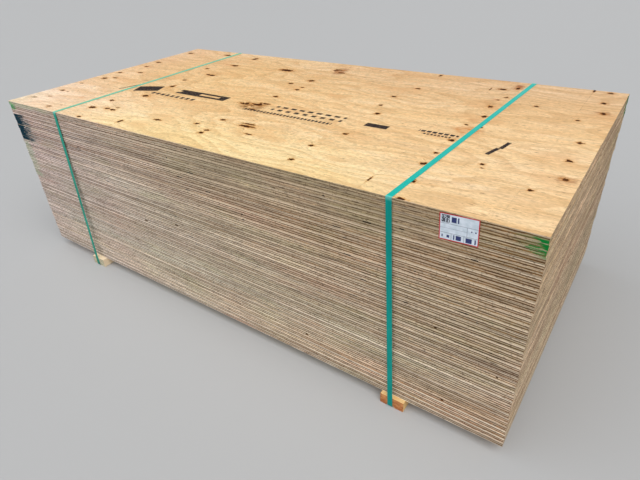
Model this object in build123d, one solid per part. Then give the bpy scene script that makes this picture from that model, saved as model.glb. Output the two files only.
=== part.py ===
"""Stack of full plywood sheets on two timber runners, held by two plastic straps.

Millimetres. +X runs along the stack's long front side, +Y away from that side, +Z up.
The origin is on the floor, under the middle of the stack.
"""
import math
import os

from build123d import *

# One sheet: 8 by 4 feet, and three quarters of an inch with the gap above it
SHEET_LENGTH = 2438.4
SHEET_WIDTH = 1219.2
SHEET_THICKNESS = 18.7
SHEET_GAP = 0.3
SHEET_COUNT = 40

# How far a sheet lies out of line with the stack, at most, and in radians how fast that
# swings with the square of its number, so that no pattern shows
STAGGER_LONG = 1.3
STAGGER_CROSS = 1.0
STAGGER_TURN_LONG = 0.37
STAGGER_TURN_CROSS = 0.61

# Timber runners, laid flat across the stack, with a groove below for the strap
RUNNER_WIDTH = 89.0
RUNNER_HEIGHT = 44.0
RUNNER_EDGE_RADIUS = 3.0
RUNNER_LEFT_INSET = 375.2
RUNNER_RIGHT_INSET = 371.2
RUNNER_LONG_OVERHANG = 24.0
RUNNER_SHORT_OVERHANG = 15.0
GROOVE_WIDTH = 30.0
GROOVE_DEPTH = 5.5

# Straps, each placed by how far right of its runner's middle it lies in the groove
# below, and where it crosses the front and back edges above
STRAP_WIDTH = 19.0
STRAP_THICKNESS = 1.0
STRAP_CLEARANCE = 0.3
STRAP_GROOVE_OFFSET = -5.0
STRAP_LEFT_FRONT_OFFSET = 24.0
STRAP_LEFT_BACK_OFFSET = 0.0
STRAP_RIGHT_FRONT_OFFSET = -37.0
STRAP_RIGHT_BACK_OFFSET = 12.0

# Paper label on the front side, near its top right corner
LABEL_WIDTH = 104.0
LABEL_HEIGHT = 77.0
LABEL_THICKNESS = 0.3
LABEL_INSET = 209.7
LABEL_BELOW_TOP = 42.0
LABEL_TILT = 2.5
LABEL_CLEARANCE = 0.3

SHEET_PITCH = SHEET_THICKNESS + SHEET_GAP
STACK_TOP = RUNNER_HEIGHT + SHEET_COUNT * SHEET_PITCH - SHEET_GAP
STACK_FRONT = -SHEET_WIDTH / 2 - STAGGER_CROSS
STACK_BACK = SHEET_WIDTH / 2 + STAGGER_CROSS
RUNNER_LEFT_X = RUNNER_LEFT_INSET - SHEET_LENGTH / 2
RUNNER_RIGHT_X = SHEET_LENGTH / 2 - RUNNER_RIGHT_INSET


def sheet_middle(number):
    """Centre of a sheet, counted from 0 at the bottom, with its small stagger."""
    return Vector(
        STAGGER_LONG * math.sin(STAGGER_TURN_LONG * number**2),
        STAGGER_CROSS * math.sin(STAGGER_TURN_CROSS * number**2),
        RUNNER_HEIGHT + number * SHEET_PITCH + SHEET_THICKNESS / 2,
    )


def sheet(number):
    """One plywood sheet at its place in the stack."""
    return Pos(sheet_middle(number)) * Box(SHEET_LENGTH, SHEET_WIDTH, SHEET_THICKNESS)


def runner_span(front_overhang, back_overhang):
    """Y of a runner's front and back ends."""
    return -SHEET_WIDTH / 2 - front_overhang, SHEET_WIDTH / 2 + back_overhang


def runner(x, span):
    """Timber runner: a rounded section with the strap's groove below, drawn out along Y."""
    front, back = span
    section = Pos(0, RUNNER_HEIGHT / 2) * RectangleRounded(RUNNER_WIDTH, RUNNER_HEIGHT, RUNNER_EDGE_RADIUS)
    section -= Rectangle(GROOVE_WIDTH, 2 * GROOVE_DEPTH)
    face = Plane(origin=(x, front, 0), x_dir=(1, 0, 0), z_dir=(0, -1, 0)) * section
    return extrude(face, amount=back - front, dir=(0, 1, 0))


def strap_corners(span, runner_x, front_offset, back_offset):
    """The wood edges that a strap turns round, in order, starting at the top front edge.

    Between the top edge and the runner's end the strap is tight, so it stands off the
    sheets. It just clears the runner's upper edge, and turns under at the groove's roof.
    """
    groove_x = runner_x + STRAP_GROOVE_OFFSET
    front, back = span
    drop = (RUNNER_HEIGHT - GROOVE_DEPTH) / (STACK_TOP - RUNNER_HEIGHT)
    front_low = front + (front - STACK_FRONT) * drop
    back_low = back + (back - STACK_BACK) * drop
    return [
        Vector(runner_x + front_offset, STACK_FRONT, STACK_TOP),
        Vector(groove_x, front_low, GROOVE_DEPTH),
        Vector(groove_x, back_low, GROOVE_DEPTH),
        Vector(runner_x + back_offset, STACK_BACK, STACK_TOP),
    ]


def strap_section(corner, along):
    """Strap's cross-section outside a corner, square to the way it runs as seen along X."""
    ahead = Vector(0, along.Y, along.Z).normalized()
    outward = ahead.cross(Vector(1, 0, 0))
    middle = corner + outward * (STRAP_CLEARANCE + STRAP_THICKNESS / 2)
    return Plane(origin=middle, x_dir=(1, 0, 0), z_dir=ahead) * Rectangle(STRAP_WIDTH, STRAP_THICKNESS)


def strap(corners):
    """Closed loop of strap: a straight run from each corner to the next, and a bend at each."""
    loop = Part()
    for index, corner in enumerate(corners):
        before = corner - corners[index - 1]
        after = corners[(index + 1) % len(corners)] - corner
        turn = Vector(0, before.Y, before.Z).get_angle(Vector(0, after.Y, after.Z))
        loop += extrude(strap_section(corner, after), amount=after.length, dir=after)
        loop += revolve(strap_section(corner, before), Axis(corner, (1, 0, 0)), revolution_arc=turn)
    return loop


def label():
    """Flat paper label, level with the sheets that it covers and a little tilted."""
    middle_z = STACK_TOP - LABEL_BELOW_TOP
    covered = [
        sheet_middle(number).Y
        for number in range(SHEET_COUNT)
        if abs(sheet_middle(number).Z - middle_z) < LABEL_HEIGHT / 2
    ]
    seat = min(covered) - SHEET_WIDTH / 2 - LABEL_CLEARANCE
    middle_x = SHEET_LENGTH / 2 - LABEL_INSET
    place = Pos(middle_x, seat - LABEL_THICKNESS / 2, middle_z) * Rot(0, -LABEL_TILT, 0)
    return place * Box(LABEL_WIDTH, LABEL_THICKNESS, LABEL_HEIGHT)


left_span = runner_span(RUNNER_LONG_OVERHANG, RUNNER_SHORT_OVERHANG)
right_span = runner_span(RUNNER_SHORT_OVERHANG, RUNNER_LONG_OVERHANG)
left_corners = strap_corners(
    left_span, RUNNER_LEFT_X, STRAP_LEFT_FRONT_OFFSET, STRAP_LEFT_BACK_OFFSET
)
right_corners = strap_corners(
    right_span, RUNNER_RIGHT_X, STRAP_RIGHT_FRONT_OFFSET, STRAP_RIGHT_BACK_OFFSET
)

parts = {
    "sheets": Compound([sheet(number).solid() for number in range(SHEET_COUNT - 1)]),
    "top_sheet": sheet(SHEET_COUNT - 1),
    "runner_left": runner(RUNNER_LEFT_X, left_span),
    "runner_right": runner(RUNNER_RIGHT_X, right_span),
    "strap_left": strap(left_corners),
    "strap_right": strap(right_corners),
    "label": label(),
}

os.makedirs("parts", exist_ok=True)
for name, shape in parts.items():
    export_step(shape, f"parts/{name}.step")
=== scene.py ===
"""The looks of a strapped stack of plywood sheets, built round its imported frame. Lengths are in metres."""
import functools
import math

import bpy
import numpy as np
from mathutils import Matrix, Quaternion, Vector


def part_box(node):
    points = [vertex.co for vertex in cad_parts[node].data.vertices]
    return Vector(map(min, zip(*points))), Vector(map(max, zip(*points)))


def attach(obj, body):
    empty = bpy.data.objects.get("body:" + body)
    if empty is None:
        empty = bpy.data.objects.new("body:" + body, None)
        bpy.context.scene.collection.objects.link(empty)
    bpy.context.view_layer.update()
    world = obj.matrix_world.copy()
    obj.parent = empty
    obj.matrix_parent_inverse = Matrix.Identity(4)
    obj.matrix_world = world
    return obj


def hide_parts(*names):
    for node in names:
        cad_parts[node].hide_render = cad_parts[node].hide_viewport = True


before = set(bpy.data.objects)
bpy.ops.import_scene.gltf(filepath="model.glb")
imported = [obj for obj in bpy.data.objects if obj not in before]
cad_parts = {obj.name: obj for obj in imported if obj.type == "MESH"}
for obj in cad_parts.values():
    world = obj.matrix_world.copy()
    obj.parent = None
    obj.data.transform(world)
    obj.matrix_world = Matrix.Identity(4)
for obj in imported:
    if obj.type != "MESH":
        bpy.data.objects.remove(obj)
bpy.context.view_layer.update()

MM = 0.001

# A sheet: half its length, its pitch in the stack, and the borders of its plies as shares of its thickness
HALF_LENGTH = 1.2192
SHEET_PITCH = 19 * MM
PLY_BORDERS = (0.171, 0.401, 0.599, 0.829)
STACK_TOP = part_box("top_sheet")[1].z

# Relief of a sheet's edge: heights of the steps between plies and of the worn outer edges, as shares of its
# thickness, and how far worn edges, torn plies and smooth plies draw back
LIP = 0.018
ARRIS_SHARE = 0.028
ARRIS_INSET = 0.55 * MM
ROUGH_INSET = 0.55 * MM
SMOOTH_INSET = 0.12 * MM

# Voids: half the length over which their ends fall, the deepest one, and the depth at which their painted
# shade is full
VOID_STEP = 0.7 * MM
DEEPEST = 16 * MM
FULL_SHADE_DEPTH = 8 * MM
KNOT_DENT = 0.7 * MM

# Mesh spacing
STATION_STEP = 17 * MM
TOP_CELL = 10.5 * MM
CORNER_ROOM = 6 * MM
CLEAR_OF_VOID = 2.5 * MM
SMALLEST_STEP = 0.3 * MM
SHEETS_A_PIECE = 5

# Shares of the places along the upper edge that are chipped, on the lower sheets and on the top one
CHIPPED, TOP_CHIPPED = 0.02, 0.05

# Sides of a sheet, with the first row of the bake map that each takes, the room between rows as a share of
# the map, and the length left free at their ends
FRONT, RIGHT, BACK, LEFT = range(4)
SIDE_ROWS = np.array([0, 4, 2, 5])
ROW_MARGIN = 1.5 / 1024
ROW_ROOM = 0.03
# Room in the bake map for a cap that another sheet hides
HIDDEN_CAP = (0.012, 0.0108)

# Empty places in the plies of the long front side: middle x, height z and length, in millimetres
FRONT_VOIDS = (
    (742, 705, 27), (853, 712, 14), (1058, 689, 18), (983, 654, 8), (897, 591, 6), (915, 573, 7),
    (730, 492, 18), (874, 469, 16), (1051, 500, 22), (1088, 486, 6), (972, 414, 8), (1054, 418, 12),
    (1165, 410, 13), (1136, 401, 8), (1165, 319, 5), (1017, 130, 9), (1185, 125, 8), (690, 420, 20),
    (596, 752, 8), (241, 589, 10), (245, 570, 12), (539, 595, 9), (664, 632, 9), (637, 656, 25),
    (674, 572, 24), (621, 454, 7), (341, 458, 7), (364, 427, 10), (407, 422, 26), (280, 379, 8),
    (494, 297, 10), (357, 211, 9), (485, 148, 12), (680, 211, 8), (648, 286, 6), (699, 422, 14),
    (11, 789, 20), (-107, 729, 8), (-250, 673, 9), (7, 698, 30), (-61, 665, 28), (84, 637, 26),
    (-28, 620, 26), (128, 589, 7), (139, 516, 8), (-140, 478, 20), (-145, 433, 18), (-74, 397, 30),
    (-43, 373, 22), (22, 383, 14), (-146, 221, 11), (11, 198, 14), (146, 184, 11), (-206, 166, 12),
    (-721, 659, 20), (-562, 534, 26), (-434, 534, 22), (-635, 409, 16), (-373, 495, 16), (-351, 395, 22),
    (-422, 247, 12), (-527, 184, 11), (-408, 180, 10), (-550, 375, 12),
    (-982, 559, 34), (-1016, 545, 10), (-903, 555, 10), (-1092, 213, 24), (-957, 218, 18), (-1092, 259, 16),
)

# Voids of the sides that hardly show: how far from their middle, how many a sheet has, and the plies
GUESSED_VOIDS = (
    (BACK, 1.19, 2.0, (1, 3, 3, 2)), (RIGHT, 0.58, 0.6, (2, 1, 3)), (LEFT, 0.58, 0.6, (2, 1, 3)),
)

# Knots of the top face: x, y and the two half sizes, in millimetres, then how dark the middle is
KNOTS = (
    (-1160, 493, 12, 8, 0.8), (-1160, 240, 11, 7, 0.8), (-1141, 138, 9, 6, 0.6), (-1053, 27, 14, 6, 0.6),
    (-1168, -20, 10, 6, 0.7), (-1141, -136, 12, 8, 0.9), (-1089, -107, 11, 5, 0.9), (-1136, -381, 12, 6, 0.6),
    (-884, 537, 16, 7, 0.9), (-654, 522, 9, 15, 0.6), (-654, 354, 15, 8, 1.0), (-757, 243, 7, 7, 0.6),
    (-654, 149, 9, 6, 0.7), (-620, 145, 12, 8, 0.8), (-686, 19, 9, 6, 0.6), (-651, -92, 8, 12, 0.9),
    (-642, -262, 13, 8, 0.9), (-733, -379, 9, 6, 0.8), (-642, -466, 10, 6, 0.9), (-603, -468, 12, 6, 0.8),
    (-721, -487, 12, 8, 1.0), (-658, -594, 9, 5, 0.7), (-436, -550, 6, 10, 0.7), (-315, 382, 28, 12, 0.95),
    (-305, -468, 14, 5, 0.9), (-138, 188, 8, 7, 0.8), (-120, -427, 7, 5, 0.8), (-73, 477, 12, 9, 0.9),
    (-73, 264, 13, 10, 0.9), (-43, 153, 9, 6, 0.8), (-43, 114, 10, 7, 0.9), (-65, -12, 11, 7, 1.0),
    (-117, -142, 8, 9, 0.6), (-57, -128, 10, 9, 0.6), (-36, -198, 11, 6, 0.5), (-57, -348, 11, 7, 1.0),
    (-30, -463, 9, 6, 0.8), (-30, -493, 9, 8, 1.0), (74, -341, 25, 5, 0.9), (79, -364, 29, 7, 1.0),
    (144, -424, 15, 4, 0.8), (444, 585, 6, 12, 0.8), (442, 346, 9, 7, 0.9), (401, 200, 9, 7, 0.9),
    (409, 74, 7, 8, 0.7), (449, -24, 9, 9, 1.0), (457, -266, 8, 7, 0.9), (412, -408, 8, 6, 1.0),
    (423, -534, 7, 6, 0.9), (720, 459, 2, 16, 0.8), (765, 478, 15, 8, 0.7), (819, 514, 7, 13, 0.9),
    (815, 372, 7, 6, 0.7), (795, 328, 6, 5, 0.6), (798, 234, 9, 9, 1.0), (815, 112, 8, 9, 1.0),
    (790, 3, 6, 5, 0.7), (844, -2, 6, 5, 0.7), (801, -157, 9, 8, 0.9), (800, -278, 7, 6, 0.8),
    (799, -372, 8, 8, 0.9), (826, -495, 8, 8, 0.9), (712, -540, 3, 14, 0.7), (946, 307, 7, 7, 0.6),
    (952, -297, 7, 6, 0.7), (1095, 595, 4, 16, 0.8), (1155, 588, 9, 9, 0.7), (1155, 442, 9, 9, 0.8),
    (1174, 318, 8, 10, 0.75), (1110, 209, 6, 6, 0.7), (1159, -3, 8, 8, 0.9), (1162, -160, 8, 8, 0.9),
    (1180, -292, 9, 7, 0.55), (1117, -399, 6, 5, 0.8), (846, -606, 12, 6, 0.8), (960, -323, 4, 3, 0.8),
    (-72, -160, 10, 5, 0.6), (-97, -178, 8, 4, 0.6), (-1159, -516, 14, 7, 0.2), (-1094, -474, 11, 5, 0.12),
    (-934, -568, 12, 7, 0.25), (-1087, -385, 5, 4, 0.3), (-1169, -254, 9, 5, 0.2), (-606, -439, 8, 5, 0.2),
    (-62, 492, 22, 7, 0.9), (-18, 446, 18, 6, 0.8), (-44, -114, 26, 6, 0.8), (-122, -150, 20, 6, 0.8),
    (-66, -138, 30, 8, 0.9),
)

# Stains of the top face: x, y and the two half sizes, in millimetres, then strength and colour
STAINS = (
    (812, -46, 60, 40, 0.95, (0.58, 0.25, 0.075)), (818, 528, 26, 50, 0.9, (0.38, 0.15, 0.06)),
    (-38, 470, 40, 66, 0.95, (0.36, 0.16, 0.07)), (-70, -160, 84, 54, 0.9, (0.34, 0.17, 0.06)),
    (1172, 322, 34, 24, 0.8, (0.38, 0.19, 0.08)), (1182, -292, 36, 28, 0.75, (0.38, 0.19, 0.08)),
    (790, 326, 26, 16, 0.6, (0.66, 0.3, 0.16)), (-715, 352, 42, 18, 0.6, (0.56, 0.26, 0.12)),
    (-1122, 140, 34, 20, 0.6, (0.62, 0.32, 0.14)), (-918, -414, 26, 16, 0.6, (0.66, 0.32, 0.12)),
    (-756, 242, 22, 18, 0.6, (0.5, 0.22, 0.12)), (30, 138, 34, 12, 0.5, (0.5, 0.3, 0.12)),
    (-876, -75, 40, 30, 0.55, (0.44, 0.24, 0.11)), (745, 122, 44, 12, 0.45, (0.5, 0.28, 0.11)),
    (78, -352, 46, 26, 0.6, (0.48, 0.25, 0.09)), (792, 60, 26, 30, 0.55, (0.56, 0.27, 0.1)),
)

# Splits of the top face that run across it: x, middle y and half length, in millimetres, then strength
SPLITS = ((712, -160, 450, 0.42), (1094, 470, 148, 0.85), (1094, -130, 430, 0.32), (190, -60, 540, 0.2))

# Ink bars of the top face: middle x and y and the two half sizes, in millimetres, and the turn in radians
INK_BARS = (
    (-732, -170, 66, 38, 0.4), (-394, -120, 154, 9, 0.0), (-394, -156, 154, 9, 0.0),
    (-470, -138, 62, 22, 0.0), (514, -147, 46, 17, 0.0),
    (-262, -139, 22, 26, 0.0), (-856, -180, 5, 60, -0.396),
    (966, -127, 7, 31, -0.166), (946, -188, 7, 32, -0.26),
)

# Ink rows of dashes: middle x and y and the two half sizes, the pitch, and the inked share of the pitch
INK_ROWS = (
    (-519, -210, 147, 11, 33, 0.6), (203, -124, 170, 8, 42, 0.6), (203, -160, 170, 9, 42, 0.5),
    (134, -203, 219, 9, 17, 0.66), (740, -139, 50, 6, 13, 0.62), (738, -117, 72, 8, 21, 0.74),
)

# How strongly the upper front edge of a sheet carries a painted highlight, a bright line along it. The lowest
# sheet is 0
EDGE_HIGHLIGHTS = {
    0: 0.35, 1: 0.9, 2: 0.6, 3: 0.9, 6: 0.45, 7: 0.8, 8: 0.4, 10: 1.0, 12: 0.6, 13: 0.5, 15: 0.5,
    17: 0.8, 19: 0.35, 20: 0.85, 21: 0.5, 22: 0.45, 23: 0.75, 24: 1.0, 26: 0.35, 27: 0.8, 29: 0.95,
    31: 0.75, 33: 0.85, 35: 0.55, 36: 0.4, 37: 0.3, 38: 0.25, 39: 0.0,
}

# Upright corners of the stack, and the brush marks there: the corner's side in x and y, reach, lowest and
# highest z, how ragged, how strong, how strong on the end, and the colour
CORNER_X, CORNER_Y = 1.219, 0.61
BRUSH_MARKS = (
    (1, -1, 0.088, 0.757, 0.797, 0.07, 0.3, 0.0, (0.12, 0.23, 0.08)),
    (1, -1, 0.03, 0.751, 0.795, 0.066, 1.0, 0.2, (0.005, 0.205, 0.034)),
    (1, 1, 0.075, 0.725, 0.84, 0.05, 1.0, 1.0, (0.008, 0.12, 0.035)),
    (-1, -1, 0.05, 0.77, 0.802, 0.04, 0.9, 1.0, (0.035, 0.33, 0.1)),
    (-1, -1, 0.44, 0.784, 0.84, 0.12, 0.3, 0.0, (0.66, 0.74, 0.46)),
    (-1, -1, 0.15, 0.605, 0.73, 0.13, 0.6, 0.4, (0.02, 0.11, 0.13)),
    (-1, -1, 0.1, 0.608, 0.748, 0.09, 1.0, 1.0, (0.004, 0.034, 0.056)),
    (-1, -1, 0.07, 0.42, 0.6, 0.08, 0.3, 1.0, (0.24, 0.48, 0.26)),
)
INK_SOFT = 1.2 * MM
# In millimetres, as the table of splits is
SPLIT_HALF_WIDTH = 0.4

# Straps: where they cross the front and back edges, in millimetres right of the runner's middle, their
# section, how far inside their box they turn below, and where they turn round the top edges
STRAP_OFFSETS = {"strap_left": (24, 0), "strap_right": (-37, 12)}
STRAP_HALF_WIDTH = 9.5 * MM
STRAP_NEAR, STRAP_FAR = 0.35 * MM, 1.25 * MM
STRAP_EDGE = 0.22 * MM
STRAP_STAND = 1.3 * MM
STRAP_STEP = 40 * MM
BEND_STEPS = 6
STRAP_RIB = 5.2 * MM
SHARP_FROM = math.radians(35)
SHEET_EDGE = 0.6106

# Runners: the strap's groove below, the rounded edges, the rings of points along them, how far the ends are
# drawn in and the sides uneven, and the width of the growth rings with their middle
GROOVE_ROOF = 5.5 * MM
GROOVE_HALF_WIDTH = 15 * MM
GROOVE_SHIFT = 5 * MM
RUNNER_BEND = 3 * MM
RUNNER_RINGS = 64
RUNNER_END = 0.975
RUNNER_UNEVEN = 0.008
RING_WIDTH = 4.6 * MM
PITH_X, PITH_Z = 0.05, -0.09

# Paper label, how far its corners lift, and its printed areas as shares of its size from the lower left
LABEL_WIDTH, LABEL_HEIGHT = 104 * MM, 77 * MM
LABEL_TILT = math.radians(2.5)
PAPER_THICKNESS = 0.14 * MM
CORNER_LIFT = 0.9 * MM
LIFT_FROM = 0.72
LABEL_FIELD = (0.024, 0.032, 0.976, 0.968)
LABEL_RED = (0.6, 0.035, 0.045)
LABEL_BLOCK = (0.055, 0.66, 0.265, 0.945)
LABEL_RULES = (
    (0.03, 0.62, 0.97, 0.636), (0.03, 0.27, 0.97, 0.286), (0.7, 0.27, 0.712, 0.62),
    (0.31, 0.03, 0.322, 0.27), (0.63, 0.03, 0.642, 0.27), (0.03, 0.45, 0.7, 0.46),
)
LABEL_BARS = (
    (0.31, 0.7, 0.67, 0.9, 0.52), (0.68, 0.06, 0.95, 0.24, 0.58), (0.37, 0.07, 0.6, 0.24, 0.5),
    (0.07, 0.1, 0.28, 0.2, 0.45), (0.8, 0.48, 0.94, 0.53, 0.5),
)

# Camera of the photograph, and how far the floor reaches
CAMERA_PLACE = Vector((1.3556, -1.6536, 1.4153))
CAMERA_AIM = Vector((0.3396, -0.2969, 0.344))
CAMERA_ROLL = 0.06314
CAMERA_LENS = 27.69
CAMERA_SENSOR = 36.0
FLOOR_REACH = 30.0

rng = np.random.default_rng(1158)


class Graph:
    """One material's nodes, made by short calls that pass sockets on."""

    def __init__(self, name, roughness, specular):
        self.material = bpy.data.materials.new(name)
        self.material.use_nodes = True
        self.tree = self.material.node_tree
        self.tree.nodes.clear()
        self.shader = self.node("BsdfPrincipled")
        self.shader.inputs["Roughness"].default_value = roughness
        self.shader.inputs["Specular IOR Level"].default_value = specular
        self.put(self.node("OutputMaterial").inputs["Surface"], self.shader.outputs[0])

    def put(self, socket, value):
        """Sets a node's input from another node's socket, a number, a vector or a colour."""
        if isinstance(value, bpy.types.NodeSocket):
            self.tree.links.new(value, socket)
        elif socket.type == "RGBA" and len(value) == 3:
            socket.default_value = (*value, 1.0)
        else:
            socket.default_value = value

    def node(self, kind, *values, **settings):
        """A new node with its settings, and with the values in its first inputs."""
        node = self.tree.nodes.new("ShaderNode" + kind)
        for name, setting in settings.items():
            setattr(node, name, setting)
        for socket, value in zip(node.inputs, values):
            self.put(socket, value)
        return node

    def math(self, operation, *values):
        return self.node("Math", *values, operation=operation).outputs[0]

    def chain(self, operation, values):
        """One number out of many, by an operation that takes two at a time."""
        return functools.reduce(functools.partial(self.math, operation), values)

    def add(self, *values):
        return self.chain("ADD", values)

    def times(self, *values):
        return self.chain("MULTIPLY", values)

    def most(self, *values):
        return self.chain("MAXIMUM", values)

    def least(self, *values):
        return self.chain("MINIMUM", values)

    def line(self, value, slope, start):
        """Start plus slope times the value."""
        return self.math("MULTIPLY_ADD", value, slope, start)

    def rest(self, value):
        """What is left up to 1."""
        return self.math("SUBTRACT", 1.0, value)

    def apart(self, first, second):
        """How far two numbers are apart, without a sign."""
        return self.math("ABSOLUTE", self.math("SUBTRACT", first, second))

    def length(self, across, down):
        return self.math("SQRT", self.add(self.times(across, across), self.times(down, down)))

    def vary(self, value, reach):
        """A factor round 1 from a noise, most of which lies from 0.3 to 0.7."""
        return self.line(self.line(value, 5.0, -2.5), reach, 1.0)

    def fade(self, value, start, end, low=0.0, high=1.0):
        """A smooth step from low at start to high at end."""
        return self.node("MapRange", value, start, end, low, high, interpolation_type="SMOOTHSTEP").outputs[0]

    def mix(self, share, first, second, blend="MIX"):
        node = self.node("Mix", share, data_type="RGBA", blend_type=blend)
        self.put(node.inputs[6], first)
        self.put(node.inputs[7], second)
        return node.outputs[2]

    def coats(self, colour, *layers, blend="MIX"):
        """The colour under layers of share and tone, laid on one after the other."""
        for share, tone in layers:
            colour = self.mix(share, colour, tone, blend)
        return colour

    def tints(self, colour, *layers):
        """The colour times each tone, as far as its share says."""
        return self.coats(colour, *layers, blend="MULTIPLY")

    def shade(self, colour, *factors):
        """The colour times plain numbers."""
        node = self.node("VectorMath", colour, operation="SCALE")
        self.put(node.inputs["Scale"], self.times(*factors))
        return node.outputs[0]

    def ramp(self, value, *stops):
        """A colour by value, from pairs of place and colour."""
        node = self.node("ValToRGB", value)
        elements = node.color_ramp.elements
        while len(elements) < len(stops):
            elements.new(0.5)
        for element, (where, colour) in zip(elements, stops):
            element.position = where
            element.color = (*colour, 1.0)
        return node.outputs[0]

    def attribute(self, name):
        """The three numbers that a mesh carries under a name."""
        return self.split(self.node("Attribute", attribute_name=name).outputs["Vector"])

    def place(self):
        return self.split(self.node("TexCoord").outputs["Object"])

    def split(self, vector):
        return self.node("SeparateXYZ", vector).outputs[:3]

    def noise(self, x, y, z, scales, detail=2.0, rough=0.5):
        """Noise whose grain is set apart for each of three coordinates."""
        parts = [self.math("MULTIPLY", part, scale) for part, scale in zip((x, y, z), scales)]
        node = self.node("TexNoise", self.node("CombineXYZ", *parts).outputs[0])
        node.inputs["Scale"].default_value = 1.0
        node.inputs["Detail"].default_value = detail
        node.inputs["Roughness"].default_value = rough
        return node.outputs[0]

    def white(self, *values):
        """A number from 0 to 1 that is the same wherever the three values are the same."""
        return self.node("TexWhiteNoise", self.node("CombineXYZ", *values).outputs[0]).outputs["Value"]

    def bump(self, height, distance, strength):
        node = self.node("Bump")
        node.inputs["Strength"].default_value = strength
        node.inputs["Distance"].default_value = distance
        self.put(node.inputs["Height"], height)
        self.put(self.shader.inputs["Normal"], node.outputs[0])

    def colour(self, value):
        self.put(self.shader.inputs["Base Color"], value)

    def roughness(self, value):
        self.put(self.shader.inputs["Roughness"], value)


def mark_paint(g, colour, x, y, z, end):
    """Lays the green and blue brush marks of the stack's upright corners over the edges' colour."""
    ragged = g.noise(x, y, z, (20, 20, 190), 3.0, 0.7)
    broad = g.noise(x, y, z, (9, 9, 34))
    patchy = g.noise(x, y, z, (30, 30, 150), 3.0, 0.7)
    height = g.add(z, g.line(broad, 0.05, -0.025))
    for way_x, way_y, reach, low, high, ramble, cover, on_end, tone in BRUSH_MARKS:
        away = g.most(g.apart(x, way_x * CORNER_X), g.apart(y, way_y * CORNER_Y))
        away = g.add(away, g.line(ragged, 2.5 * ramble, -1.25 * ramble))
        near = g.fade(away, reach, 0.55 * reach)
        above = g.fade(height, low - 0.006, low + 0.004)
        below = g.fade(height, high + 0.004, high - 0.006)
        thick = g.fade(away, 0.9 * reach, 0.1 * reach, 0.0, 0.22)
        whole = g.fade(g.add(patchy, thick), 0.42, 0.58, 0.12, 1.0)
        side = g.line(end, on_end - 1.0, 1.0)
        colour = g.mix(g.times(near, above, below, whole, side, cover), colour, tone)
    return colour


class EdgeSpot:
    """A point of a sheet's edge: where it lies, on which ply, and the noises that several layers share."""

    def __init__(self, g):
        self.g = g
        self.along, self.height, self.seed = g.attribute("ply")
        self.end, self.hollow, self.painted_highlight = g.attribute("mark")
        self.x, self.y, self.z = g.place()
        self.on_long = g.rest(self.end)
        self.low_down = g.fade(self.z, 0.62, 0.16)
        self.by_sheet = g.white(self.seed, 5.1, 2.3)
        wobble = g.noise(self.along, self.seed, self.height, (24, 7.3, 1.5), 3.0, 0.6)
        self.level = g.add(self.height, g.line(wobble, 0.13, -0.065))
        self.ply = g.add(*[g.math("GREATER_THAN", self.level, border) for border in PLY_BORDERS])
        self.rough = g.apart(g.math("MODULO", self.ply, 2.0), self.end)
        self.glue = g.least(*[g.apart(self.level, border) for border in PLY_BORDERS])
        self.streak = self.grain((6, 9, 3.1), 3.0, 0.6)
        self.fibre = self.grain((45, 26, 3.3), 3.0, 0.65)
        self.pores = self.grain((240, 9, 5.3), 3.0, 0.7)

    def grain(self, scales, detail=2.0, rough=0.5):
        """Noise that runs along the edge and differs from sheet to sheet."""
        return self.g.noise(self.along, self.height, self.seed, scales, detail, rough)


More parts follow.
